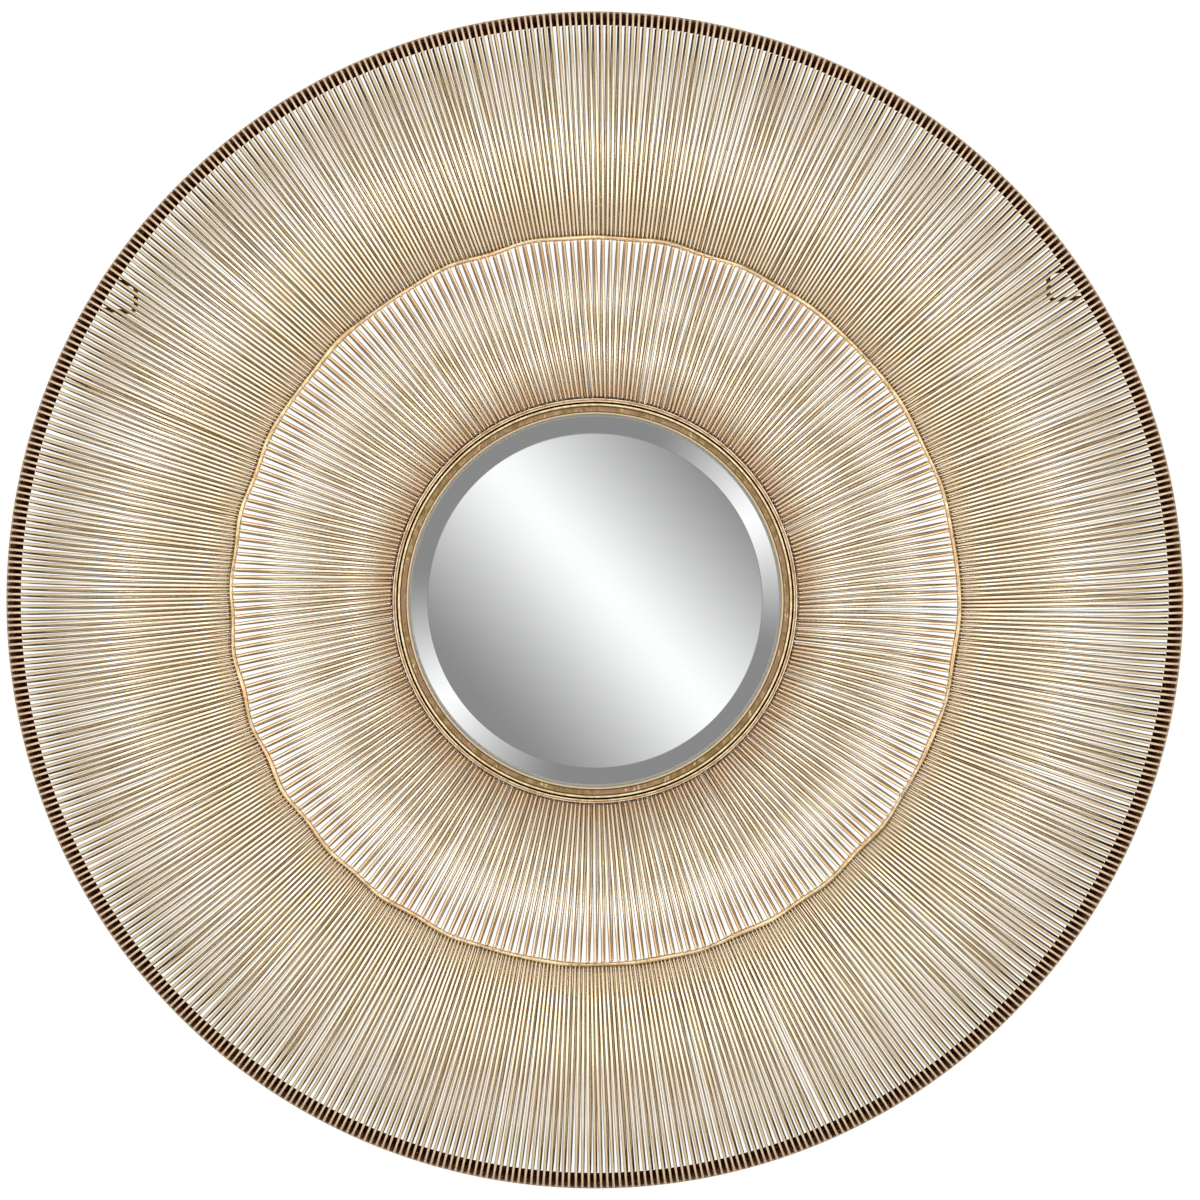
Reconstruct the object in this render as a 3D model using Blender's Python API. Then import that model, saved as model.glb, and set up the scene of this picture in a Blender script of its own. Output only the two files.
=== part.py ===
"""Round wall mirror: a bevelled glass in a channel frame, carried by two layers of bent wires.

The wires run in two tiers, from the hub ring to the middle ring and from there to the rim, and
each tier has a front and a back layer. Metres, +Z up, and the glass looks along -Y. The origin
is on the back of the left hanging loop, where it lies against the wall.
"""
import math

import bmesh
import bpy
from mathutils import Vector

# Below, lift is the distance in front of the wall, and radius is from the mirror's centre.
# A path point is a radius, a lift and the slope there, which is positive where the lift grows.
FIT_GAP = 0.0003

# The rim is a hoop of flat strip on edge.
RIM_RADIUS = 0.5334
RIM_DEPTH = 0.050
RIM_THICKNESS = 0.0016

# The middle ring is a rod bent round, which both tiers are welded to.
MIDDLE_RING_RADIUS = 0.3233
MIDDLE_RING_LIFT = 0.0923
MIDDLE_RING_ROD = 0.0044

# The hub ring is a strip round the glass frame.
HUB_RADIUS = 0.1804
HUB_THICKNESS = 0.0034
HUB_DEPTH = 0.020
HUB_FRONT = 0.0882

# The glass frame is a channel: an outer lip, a narrow groove outside it, a flat face and a sight edge.
CHANNEL_RADIUS = HUB_RADIUS - HUB_THICKNESS - 2 * FIT_GAP
CHANNEL_BACK = 0.0688
GROOVE_FLOOR = 0.0840
LIP_RADIUS = 0.1757
LIP_WIDTH = 0.0023
LIP_CREST = 0.0888
FACE_OUTER_RADIUS = 0.1725
FACE_INNER_RADIUS = 0.1681
FACE_LIFT = 0.0866
SIGHT_CREST_RADIUS = 0.1670
SIGHT_CREST = 0.0871
SIGHT_RADIUS = 0.1656
SIGHT_UNDERSIDE = 0.0806

# The glass is flat inside its bevel, and the board closes the channel behind it.
GLASS_RADIUS = 0.1690
BEVEL_RADIUS = 0.1494
BEVEL_DROP = 0.0026
GLASS_FRONT = 0.0823
GLASS_THICKNESS = 0.0050
BOARD_THICKNESS = 0.0050

# One modelled wire stands for eight real ones: the real outer tier has 576 wires in each layer.
# The wires of a layer are parted into groups, each held together by its own weld bead.
OUTER_WIRES = 72
OUTER_GROUPS = 8
INNER_WIRES = 36
INNER_GROUPS = 6
WIRE_SIDE = 0.0036
FRONT_PHASE = math.radians(0.5)
BACK_PHASE = math.radians(3.0)

# Ends of the wires as radius and lift: at the rim, on both sides of the middle ring and at the hub.
FRONT_CROWN_ENDS = ((0.3283, 0.0939), (0.5316, 0.0512))
BACK_CROWN_ENDS = ((0.3283, 0.0907), (0.5288, 0.0065))
FRONT_TROUGH_ENDS = ((0.1834, 0.0867), (0.3200, 0.0939))
BACK_TROUGH_ENDS = ((0.1834, 0.0697), (0.3200, 0.0907))

# Radius at which each wire runs level, and its slope at the inner end in degrees.
FRONT_CROWN_LEVEL = 0.3954
FRONT_CROWN_SLOPE = 40
BACK_CROWN_LEVEL = 0.3850
BACK_CROWN_SLOPE = 30
TROUGH_LEVEL = 0.2431
FRONT_TROUGH_SLOPE = 38
BACK_TROUGH_SLOPE = 27

# The weld bead runs along the inner tips, just clear of the ring.
OUTER_WELD_RADIUS = 0.3261
INNER_WELD_RADIUS = 0.1815

# A hanging loop is a bent wire. Its two bars run from the rim in to the reach, which is along X.
LOOP_WIRE = 0.0040
LOOP_BEND = 0.0060
LOOP_END_RADIUS = 0.5309
LEFT_LOOP = {"reach": -0.4250, "rim_top": 0.2945, "top": 0.2900, "bottom": 0.2650, "rim_bottom": 0.2685}
RIGHT_LOOP = {"reach": 0.4200, "rim_top": 0.3042, "top": 0.3025, "bottom": 0.2765, "rim_bottom": 0.2792}
HANG_SHARE = 0.35

DISC_SEGMENTS = 48
BEND_STEPS = 3
MERGE = 0.00001


def clear_objects():
    """Removes what the scene starts with."""
    for item in list(bpy.data.objects):
        bpy.data.objects.remove(item)


def make_material(name, colour, metallic, roughness):
    """A Principled material of one colour."""
    material = bpy.data.materials.new(name)
    material.use_nodes = True
    shader = material.node_tree.nodes["Principled BSDF"]
    shader.inputs["Base Color"].default_value = (*colour, 1.0)
    shader.inputs["Metallic"].default_value = metallic
    shader.inputs["Roughness"].default_value = roughness
    return material


def place(radius, lift, angle, across=0.0):
    """The point at a radius, a lift and an angle round the centre, moved across the radius."""
    x = radius * math.cos(angle) - across * math.sin(angle)
    z = radius * math.sin(angle) + across * math.cos(angle)
    return Vector((x, -lift, z))


def finish(name, bm, material, centre, smooth_angle=0):
    """Merges and orients the mesh, and hangs the piece on the mirror's centre."""
    bmesh.ops.remove_doubles(bm, verts=bm.verts, dist=MERGE)
    bmesh.ops.recalc_face_normals(bm, faces=bm.faces)
    mesh = bpy.data.meshes.new(name)
    bm.to_mesh(mesh)
    bm.free()
    mesh.materials.append(material)
    if smooth_angle:
        mesh.shade_smooth()
        mesh.set_sharp_from_angle(angle=math.radians(smooth_angle))
    piece = bpy.data.objects.new(name, mesh)
    piece.parent = centre
    bpy.context.collection.objects.link(piece)


def turn(name, section, segments, material, centre, closed=True):
    """Turns a section of radius and lift pairs; an open one starts and ends on the axis."""
    bm = bmesh.new()
    verts = [bm.verts.new(place(radius, lift, FRONT_PHASE)) for radius, lift in section]
    edges = [bm.edges.new(pair) for pair in zip(verts, verts[1:])]
    if closed:
        edges.append(bm.edges.new((verts[-1], verts[0])))
    bmesh.ops.spin(bm, geom=verts + edges, cent=(0, 0, 0), axis=(0, 1, 0),
                   angle=2 * math.pi, steps=segments)
    finish(name, bm, material, centre, smooth_angle=30)


def bent_path(ends, level, start_slope, crown, start_steps, end_steps):
    """Two arcs that meet where the wire runs level: a crown bulges forwards, a trough back."""
    (start_radius, start_lift), (end_radius, end_lift) = ends
    way = 1 if crown else -1
    start_turn = math.radians(start_slope)
    start_arc = (level - start_radius) / math.sin(start_turn)
    level_lift = start_lift + way * start_arc * (1 - math.cos(start_turn))
    end_turn = 2 * math.atan(way * (level_lift - end_lift) / (end_radius - level))
    end_arc = (end_radius - level) / math.sin(end_turn)
    path = []
    for step in range(start_steps, 0, -1):
        angle = start_turn * step / start_steps
        drop = start_arc * (1 - math.cos(angle))
        path.append((level - start_arc * math.sin(angle), level_lift - way * drop, way * angle))
    for step in range(end_steps + 1):
        angle = end_turn * step / end_steps
        drop = end_arc * (1 - math.cos(angle))
        path.append((level + end_arc * math.sin(angle), level_lift - way * drop, -way * angle))
    return path


def wire_section(bm, point, angle):
    """A wire's three-sided section at a path point: the front ridge, then the two back edges."""
    radius, lift, slope = point
    reach = WIRE_SIDE / math.sqrt(3)
    ridge = place(radius - reach * math.sin(slope), lift + reach * math.cos(slope), angle)
    back_radius = radius + reach / 2 * math.sin(slope)
    back_lift = lift - reach / 2 * math.cos(slope)
    near = place(back_radius, back_lift, angle, -WIRE_SIDE / 2)
    far = place(back_radius, back_lift, angle, WIRE_SIDE / 2)
    return [bm.verts.new(ridge), bm.verts.new(near), bm.verts.new(far)]


def wire_group(name, angles, path, weld_radius, material, centre):
    """Radial wires side by side, joined at their inner tips by a weld bead."""
    bm = bmesh.new()
    tips = []
    for angle in angles:
        sections = [wire_section(bm, point, angle) for point in path]
        for inner, outer in zip(sections, sections[1:]):
            for side in range(3):
                turn_to = (side + 1) % 3
                bm.faces.new((inner[side], inner[turn_to], outer[turn_to], outer[side]))
        bm.faces.new(sections[-1])
        ridge, near, far = sections[0]
        bead = bm.verts.new(place(weld_radius, path[0][1], angle))
        bm.faces.new((near, bead, far))
        tips.append((ridge, near, far, bead))
    for (ridge, _, far, bead), (next_ridge, next_near, _, next_bead) in zip(tips, tips[1:]):
        bm.faces.new((ridge, far, next_near, next_ridge))
        bm.faces.new((ridge, next_ridge, next_bead, bead))
        bm.faces.new((far, bead, next_bead, next_near))
    first_ridge, first_near, _, first_bead = tips[0]
    bm.faces.new((first_near, first_ridge, first_bead))
    last_ridge, _, last_far, last_bead = tips[-1]
    bm.faces.new((last_ridge, last_far, last_bead))
    finish(name, bm, material, centre)


def wire_layer(name, path, count, groups, phase, weld_radius, material, centre):
    """A ring of radial wires in groups, numbered from +X round towards +Z."""
    angles = [phase + 2 * math.pi * number / count for number in range(count)]
    share = count // groups
    for group in range(groups):
        members = angles[group * share:(group + 1) * share]
        wire_group(f"{name}_{group + 1}", members, path, weld_radius, material, centre)


def loop_route(loop):
    """The loop's four points in X and Z: rim, upper corner, lower corner, rim."""
    side = math.copysign(1, loop["reach"])
    rim_top_x = side * math.sqrt(LOOP_END_RADIUS ** 2 - loop["rim_top"] ** 2)
    rim_bottom_x = side * math.sqrt(LOOP_END_RADIUS ** 2 - loop["rim_bottom"] ** 2)
    return [Vector((rim_top_x, loop["rim_top"])), Vector((loop["reach"], loop["top"])),
            Vector((loop["reach"], loop["bottom"])), Vector((rim_bottom_x, loop["rim_bottom"]))]


def rounded(corners, bend, steps):
    """The route through the corners, each inner one rounded to the bend radius."""
    route = [corners[0]]
    for before, corner, after in zip(corners, corners[1:], corners[2:]):
        back = (before - corner).normalized()
        ahead = (after - corner).normalized()
        half = back.angle(ahead) / 2
        middle = corner + (back + ahead).normalized() * bend / math.sin(half)
        start = (corner + back * bend / math.tan(half) - middle).normalized()
        end = (corner + ahead * bend / math.tan(half) - middle).normalized()
        route += [middle + start.slerp(end, step / steps) * bend for step in range(steps + 1)]
    route.append(corners[-1])
    return route


def hanging_loop(name, loop, material, centre):
    """A six-sided bent wire with one flat to the wall, its ends cut to the rim's inside."""
    route = rounded(loop_route(loop), LOOP_BEND, BEND_STEPS)
    half_flat = LOOP_WIRE / 2 / math.cos(math.radians(30))
    bm = bmesh.new()
    rings = []
    for index, point in enumerate(route):
        ahead = route[min(index + 1, len(route) - 1)]
        behind = route[max(index - 1, 0)]
        along = (ahead - behind).normalized()
        across = Vector((-along.y, along.x))
        ring = []
        for corner in range(6):
            angle = math.radians(60 * corner)
            spot = point + across * half_flat * math.cos(angle)
            if index in (0, len(route) - 1):
                reach = along.dot(spot)
                outwards = math.copysign(1, along.dot(point))
                to_rim = math.sqrt(reach ** 2 - spot.length_squared + LOOP_END_RADIUS ** 2)
                spot += along * (outwards * to_rim - reach)
            lift = LOOP_WIRE / 2 + half_flat * math.sin(angle)
            ring.append(bm.verts.new((spot.x, -lift, spot.y)))
        rings.append(ring)
    for inner, outer in zip(rings, rings[1:]):
        for side in range(6):
            turn_to = (side + 1) % 6
            bm.faces.new((inner[side], inner[turn_to], outer[turn_to], outer[side]))
    bm.faces.new(rings[0])
    bm.faces.new(rings[-1])
    finish(name, bm, material, centre)


clear_objects()

rim_end, bar_end = loop_route(LEFT_LOOP)[:2]
hang_point = rim_end.lerp(bar_end, HANG_SHARE)
centre = bpy.data.objects.new("mirror_centre", None)
centre.location = (-hang_point.x, 0, -hang_point.y)
bpy.context.collection.objects.link(centre)

wire_gold = make_material("champagne gold wire", (0.62, 0.50, 0.34), 1.0, 0.32)
rim_bronze = make_material("bronzed rim strip", (0.30, 0.20, 0.12), 1.0, 0.45)
ring_gold = make_material("champagne gold ring", (0.66, 0.53, 0.37), 1.0, 0.30)
frame_gold = make_material("antique gold frame", (0.50, 0.40, 0.28), 1.0, 0.42)
silvering = make_material("silvered glass", (0.90, 0.91, 0.91), 1.0, 0.03)
board_black = make_material("black board", (0.03, 0.03, 0.03), 0.0, 0.80)

# Outer rim
rim_inside = RIM_RADIUS - RIM_THICKNESS
rim_section = [(RIM_RADIUS, 0), (RIM_RADIUS, RIM_DEPTH), (rim_inside, RIM_DEPTH), (rim_inside, 0)]
turn("outer_rim", rim_section, OUTER_WIRES, rim_bronze, centre)

# Outer wires, over the crown from the middle ring to the rim
front_crown = bent_path(FRONT_CROWN_ENDS, FRONT_CROWN_LEVEL, FRONT_CROWN_SLOPE, True, 2, 2)
wire_layer("outer_wires_front", front_crown, OUTER_WIRES, OUTER_GROUPS, FRONT_PHASE,
           OUTER_WELD_RADIUS, wire_gold, centre)
back_crown = bent_path(BACK_CROWN_ENDS, BACK_CROWN_LEVEL, BACK_CROWN_SLOPE, True, 1, 3)
wire_layer("outer_wires_back", back_crown, OUTER_WIRES, OUTER_GROUPS, BACK_PHASE,
           OUTER_WELD_RADIUS, wire_gold, centre)

# Middle ring
rod = MIDDLE_RING_ROD / 2
rod_section = [
    (MIDDLE_RING_RADIUS + rod, MIDDLE_RING_LIFT),
    (MIDDLE_RING_RADIUS, MIDDLE_RING_LIFT + rod),
    (MIDDLE_RING_RADIUS - rod, MIDDLE_RING_LIFT),
    (MIDDLE_RING_RADIUS, MIDDLE_RING_LIFT - rod),
]
turn("middle_ring", rod_section, OUTER_WIRES, ring_gold, centre)

# Inner wires, through the trough from the hub to the middle ring
front_trough = bent_path(FRONT_TROUGH_ENDS, TROUGH_LEVEL, FRONT_TROUGH_SLOPE, False, 1, 2)
wire_layer("inner_wires_front", front_trough, INNER_WIRES, INNER_GROUPS, FRONT_PHASE,
           INNER_WELD_RADIUS, wire_gold, centre)
back_trough = bent_path(BACK_TROUGH_ENDS, TROUGH_LEVEL, BACK_TROUGH_SLOPE, False, 1, 2)
half_step = math.pi / INNER_WIRES
wire_layer("inner_wires_back", back_trough, INNER_WIRES, INNER_GROUPS, FRONT_PHASE + half_step,
           INNER_WELD_RADIUS, wire_gold, centre)

# Hub ring
hub_inside = HUB_RADIUS - HUB_THICKNESS
hub_back = HUB_FRONT - HUB_DEPTH
hub_section = [
    (HUB_RADIUS, hub_back),
    (HUB_RADIUS, HUB_FRONT),
    (hub_inside, HUB_FRONT),
    (hub_inside, hub_back),
]
turn("hub_ring", hub_section, DISC_SEGMENTS, ring_gold, centre)

# Glass frame
bed_radius = GLASS_RADIUS + FIT_GAP
frame_section = [
    (LIP_RADIUS, LIP_CREST),
    (LIP_RADIUS - LIP_WIDTH, LIP_CREST),
    (FACE_OUTER_RADIUS, FACE_LIFT),
    (FACE_INNER_RADIUS, FACE_LIFT),
    (SIGHT_CREST_RADIUS, SIGHT_CREST),
    (SIGHT_RADIUS, FACE_LIFT),
    (SIGHT_RADIUS, SIGHT_UNDERSIDE),
    (bed_radius, SIGHT_UNDERSIDE),
    (bed_radius, CHANNEL_BACK),
    (CHANNEL_RADIUS, CHANNEL_BACK),
    (CHANNEL_RADIUS, GROOVE_FLOOR),
    (LIP_RADIUS, GROOVE_FLOOR),
]
turn("glass_frame", frame_section, DISC_SEGMENTS, frame_gold, centre)

# Mirror glass
glass_back = GLASS_FRONT - GLASS_THICKNESS
glass_section = [
    (0, glass_back),
    (GLASS_RADIUS, glass_back),
    (GLASS_RADIUS, GLASS_FRONT - BEVEL_DROP),
    (BEVEL_RADIUS, GLASS_FRONT),
    (0, GLASS_FRONT),
]
turn("mirror_glass", glass_section, DISC_SEGMENTS, silvering, centre, closed=False)

# Backing board
board_front = glass_back - FIT_GAP
board_back = board_front - BOARD_THICKNESS
board_section = [(0, board_back), (GLASS_RADIUS, board_back), (GLASS_RADIUS, board_front), (0, board_front)]
turn("backing_board", board_section, DISC_SEGMENTS, board_black, centre, closed=False)

# Hanging loops
hanging_loop("hanger_left", LEFT_LOOP, wire_gold, centre)
hanging_loop("hanger_right", RIGHT_LOOP, wire_gold, centre)
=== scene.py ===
import math
import random

import bpy
import numpy as np
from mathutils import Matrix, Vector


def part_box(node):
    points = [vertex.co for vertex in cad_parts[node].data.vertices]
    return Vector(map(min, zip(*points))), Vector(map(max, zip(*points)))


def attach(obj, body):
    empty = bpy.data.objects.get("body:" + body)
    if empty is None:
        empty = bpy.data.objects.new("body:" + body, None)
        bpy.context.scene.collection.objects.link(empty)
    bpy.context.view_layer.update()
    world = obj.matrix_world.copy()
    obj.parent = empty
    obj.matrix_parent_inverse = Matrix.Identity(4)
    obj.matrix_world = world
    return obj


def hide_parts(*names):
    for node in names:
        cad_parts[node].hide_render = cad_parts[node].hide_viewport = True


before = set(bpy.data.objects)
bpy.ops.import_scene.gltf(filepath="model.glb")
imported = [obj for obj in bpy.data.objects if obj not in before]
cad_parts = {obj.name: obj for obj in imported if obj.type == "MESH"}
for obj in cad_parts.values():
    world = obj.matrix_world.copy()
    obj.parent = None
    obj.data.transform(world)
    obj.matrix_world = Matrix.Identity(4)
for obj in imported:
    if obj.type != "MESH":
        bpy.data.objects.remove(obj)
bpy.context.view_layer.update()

# Camera. The photograph was taken from 2.25 m in front of the wall, level with a point 40 mm
# above the mirror's centre, and the picture was shifted to put the mirror in its middle.
rim_low, rim_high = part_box("outer_rim")
centre_x = (rim_low.x + rim_high.x) / 2
centre_z = (rim_low.z + rim_high.z) / 2
camera_spot = (centre_x - 0.006, -2.248, centre_z + 0.040)
bpy.ops.object.select_all(action="DESELECT")
bpy.ops.object.camera_add(location=camera_spot, rotation=(math.radians(90), 0, 0))
camera = bpy.context.object
camera.name = "camera"
camera.data.sensor_width = 36
camera.data.lens = 18 / 0.24739
camera.data.shift_x = 0.00977
camera.data.shift_y = -0.03682
bpy.context.scene.camera = camera
bpy.context.scene.view_settings.view_transform = "Standard"

# Hub ring. A hoop of 3.4 mm gold strip round the glass frame, rolled with a shallow groove along
# its front edge. The inner ends of the inner wires are welded to its outside by a brown seam.
HUB_OUTLINE = [
    (0.18130, 0.0684), (0.18130, 0.0844), (0.18080, 0.0854), (0.18040, 0.0858),
    (0.18040, 0.0874), (0.18020, 0.0880), (0.17965, 0.0882),
    (0.17920, 0.0879), (0.17895, 0.0873), (0.17870, 0.0873), (0.17845, 0.0879),
    (0.17800, 0.0882), (0.17730, 0.0881), (0.17705, 0.0875), (0.17700, 0.0684),
]


def paint(red, green, blue):
    """A colour named by its 0-255 screen values, as the shader takes it."""
    light = []
    for part in (red, green, blue):
        part /= 255
        light.append(part / 12.92 if part <= 0.04045 else ((part + 0.055) / 1.055) ** 2.4)
    return (*light, 1)


class Reading:
    """A value read off a surface. Arithmetic on it lays Math nodes in its finish."""

    def __init__(self, finish, socket):
        self.finish = finish
        self.socket = socket

    def worked(self, operation, first, second):
        return self.finish.add("ShaderNodeMath", {"operation": operation}, {0: first, 1: second})

    def __add__(self, other):
        return self.worked("ADD", self, other)

    def __sub__(self, other):
        return self.worked("SUBTRACT", self, other)

    def __rsub__(self, other):
        return self.worked("SUBTRACT", other, self)

    def __mul__(self, other):
        return self.worked("MULTIPLY", self, other)

    def __pow__(self, other):
        return self.worked("POWER", self, other)

    __radd__ = __add__
    __rmul__ = __mul__


class Finish:
    """A surface finish, built one node at a time round its main shader."""

    def __init__(self, name):
        self.material = bpy.data.materials.new(name)
        self.material.use_nodes = True
        self.tree = self.material.node_tree
        self.shader = self.tree.nodes["Principled BSDF"]

    def feed(self, socket, value):
        if isinstance(value, Reading):
            self.tree.links.new(value.socket, socket)
        else:
            socket.default_value = value

    def add(self, kind, settings=None, sockets=None, output=0):
        node = self.tree.nodes.new(kind)
        for setting, value in (settings or {}).items():
            if setting == "stops":
                ramp = node.color_ramp
                while len(ramp.elements) < len(value):
                    ramp.elements.new(1)
                for stop, (spot, colour) in zip(ramp.elements, value):
                    stop.position = spot
                    stop.color = colour
            else:
                setattr(node, setting, value)
        for socket, value in (sockets or {}).items():
            self.feed(node.inputs[socket], value)
        return Reading(self, node.outputs[output])

    def mix(self, share, colour, other):
        return self.add("ShaderNodeMix", {"data_type": "RGBA"}, {0: share, 6: colour, 7: other}, 2)

    def rise(self, value, low, high):
        """0 below low and 1 above high, with a soft step between. Low may be above high."""
        return self.add("ShaderNodeMapRange", {"interpolation_type": "SMOOTHSTEP"},
                        {"Value": value, "From Min": low, "From Max": high})

    def place(self):
        return self.add("ShaderNodeTexCoord", output="Object")

    def from_centre(self):
        """The place on the piece, with the mirror's axis at the origin."""
        return self.add("ShaderNodeMapping", {},
                        {"Vector": self.place(), "Location": (-centre_x, 0, -centre_z)})

    def radius(self):
        flat = self.add("ShaderNodeMapping", {}, {
            "Vector": self.place(), "Location": (-centre_x, 0, -centre_z), "Scale": (1, 0, 1)})
        return self.add("ShaderNodeVectorMath", {"operation": "LENGTH"}, {0: flat}, "Value")

    def lift(self):
        """The distance in front of the wall."""
        return self.add("ShaderNodeSeparateXYZ", {}, {0: self.place()}, "Y") * -1

    def noise(self, scale, detail=3.0, stretch=(1, 1, 1)):
        spread = self.add("ShaderNodeMapping", {}, {
            "Vector": self.place(), "Location": (-centre_x, 0, -centre_z), "Scale": stretch})
        return self.add("ShaderNodeTexNoise", {},
                        {"Vector": spread, "Scale": scale, "Detail": detail, "Roughness": 0.6})

    def attribute(self, name):
        return self.add("ShaderNodeAttribute", {"attribute_name": name}, {}, "Fac")

    def set(self, **sockets):
        for name, value in sockets.items():
            name = name.replace("_", " ").title().replace("Ior", "IOR")
            self.feed(self.shader.inputs[name], value)

    def bump(self, height, strength, distance):
        self.feed(self.shader.inputs["Normal"], self.add(
            "ShaderNodeBump", {}, {"Height": height, "Strength": strength, "Distance": distance},
            "Normal"))


def turned_ring(name, outline, segments=288):
    """A closed ring with the given section, as points of radius and lift."""
    bpy.ops.object.select_all(action="DESELECT")
    radius, lift = outline[0]
    bpy.ops.mesh.primitive_circle_add(
        vertices=segments, radius=radius, location=(centre_x, -lift, centre_z),
        rotation=(math.radians(90), 0, 0))
    ring = bpy.context.object
    ring.name = name
    bpy.ops.object.mode_set(mode="EDIT")
    bpy.ops.mesh.select_mode(type="VERT")
    bpy.ops.mesh.select_all(action="SELECT")
    for next_radius, next_lift in outline[1:]:
        bpy.ops.mesh.extrude_region()
        wider = next_radius / radius
        bpy.ops.transform.resize(
            value=(wider, 1, wider), center_override=(centre_x, -lift, centre_z))
        bpy.ops.transform.translate(value=(0, lift - next_lift, 0))
        radius, lift = next_radius, next_lift
    bpy.ops.mesh.select_all(action="DESELECT")
    bpy.ops.mesh.select_non_manifold()
    bpy.ops.mesh.bridge_edge_loops()
    bpy.ops.mesh.select_all(action="SELECT")
    bpy.ops.mesh.normals_make_consistent(inside=False)
    bpy.ops.object.mode_set(mode="OBJECT")
    bpy.ops.object.transform_apply(location=True, rotation=True, scale=True)
    bpy.ops.object.shade_smooth_by_angle(angle=math.radians(40))
    return ring


def fit(piece, finish, slot, *nodes):
    """Gives the piece its finish and its place on the mirror, for the CAD nodes it stands for."""
    piece.data.materials.clear()
    piece.data.materials.append(finish.material)
    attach(piece, "root")
    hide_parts(*nodes)


ring_gold = Finish("champagne_gold_ring")
patches = ring_gold.noise(70)
grain = ring_gold.noise(900, 2)
scratches = ring_gold.noise(260, 4, (1, 6, 1))
worn = ring_gold.rise(patches + scratches * 0.4, 0.55, 0.85)
brightness = ring_gold.mix(worn, paint(204, 178, 140), paint(226, 206, 172))
stain = ring_gold.rise(scratches, 0.50, 0.36)
# The shallow groove is painted brown: painted shade in the groove.
groove_shade = ring_gold.rise(ring_gold.radius(), 0.17850, 0.17875) * ring_gold.rise(
    ring_gold.radius(), 0.17925, 0.17900)
stained = ring_gold.mix(stain * 0.6, brightness, paint(170, 118, 74))
# The inside face, in the narrow gap against the glass channel, is painted near black and not metal:
# painted shade between the parts.
inside = ring_gold.rise(ring_gold.radius(), 0.17730, 0.17712)
groove_shaded = ring_gold.mix(groove_shade * 0.8, stained, paint(128, 72, 36))
seam = ring_gold.rise(ring_gold.radius(), 0.18010, 0.18030)
brown_seam = ring_gold.mix(scratches, paint(34, 14, 2), paint(100, 58, 24))
seamed = ring_gold.mix(seam, groove_shaded, brown_seam)
ring_gold.set(base_color=ring_gold.mix(inside, seamed, paint(30, 16, 6)),
              metallic=(1 - inside) * (1 - seam) * 0.7, roughness=0.26 + patches * 0.2,
              specular_ior_level=0.0)
ring_gold.bump(grain + patches, 0.25, 0.0004)
hub = turned_ring("hub_strip", HUB_OUTLINE)
fit(hub, ring_gold, "gold_ring", "hub_ring")

# Middle ring. A 4.4 mm rod rolled into a ring by eye, so it waves by a millimetre. The outer
# wires butt against its outside and the inner wires against its inside, each with a small weld.
MIDDLE_RING_RADIUS = 0.3233
MIDDLE_RING_LIFT = 0.0923
MIDDLE_ROD = 0.0044
random.seed(11)


def waves(count, size):
    """A slow wobble round the mirror: a few sine waves of random phase."""
    return [(order, size / math.sqrt(count) * random.uniform(0.6, 1.4), random.uniform(0, 6.28))
            for order in random.sample(range(5, 34), count)]


def wobble(swing, angle):
    return sum(size * np.sin(order * angle + phase) for order, size, phase in swing)


def reshape(piece, move):
    """Moves the piece's points, given and returned as radius, lift and angle round the mirror."""
    spots = np.empty(len(piece.data.vertices) * 3)
    piece.data.vertices.foreach_get("co", spots)
    spots = spots.reshape(-1, 3)
    x, z = spots[:, 0] - centre_x, spots[:, 2] - centre_z
    radius, lift, angle = move(np.hypot(x, z), -spots[:, 1], np.arctan2(z, x))
    spots = np.stack([centre_x + radius * np.cos(angle), -lift,
                      centre_z + radius * np.sin(angle)], axis=1)
    piece.data.vertices.foreach_set("co", spots.ravel())
    piece.data.update()


bpy.ops.object.select_all(action="DESELECT")
bpy.ops.mesh.primitive_torus_add(
    major_radius=MIDDLE_RING_RADIUS, minor_radius=MIDDLE_ROD / 2 - 0.0002, major_segments=576,
    minor_segments=10, location=(centre_x, -MIDDLE_RING_LIFT, centre_z),
    rotation=(math.radians(90), 0, 0))
middle_rod = bpy.context.object
middle_rod.name = "middle_rod"
bpy.ops.object.transform_apply(location=True, rotation=True, scale=True)
ring_swing = waves(7, 0.0009)
lift_swing = waves(5, 0.0006)
rod_swing = waves(9, 0.16)


def bend_rod(radius, lift, angle):
    thicker = 1 + wobble(rod_swing, angle)
    radius = MIDDLE_RING_RADIUS + (radius - MIDDLE_RING_RADIUS) * thicker
    lift = MIDDLE_RING_LIFT + (lift - MIDDLE_RING_LIFT) * thicker
    return radius + wobble(ring_swing, angle), lift + wobble(lift_swing, angle), angle


reshape(middle_rod, bend_rod)
bpy.ops.object.shade_smooth()

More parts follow.
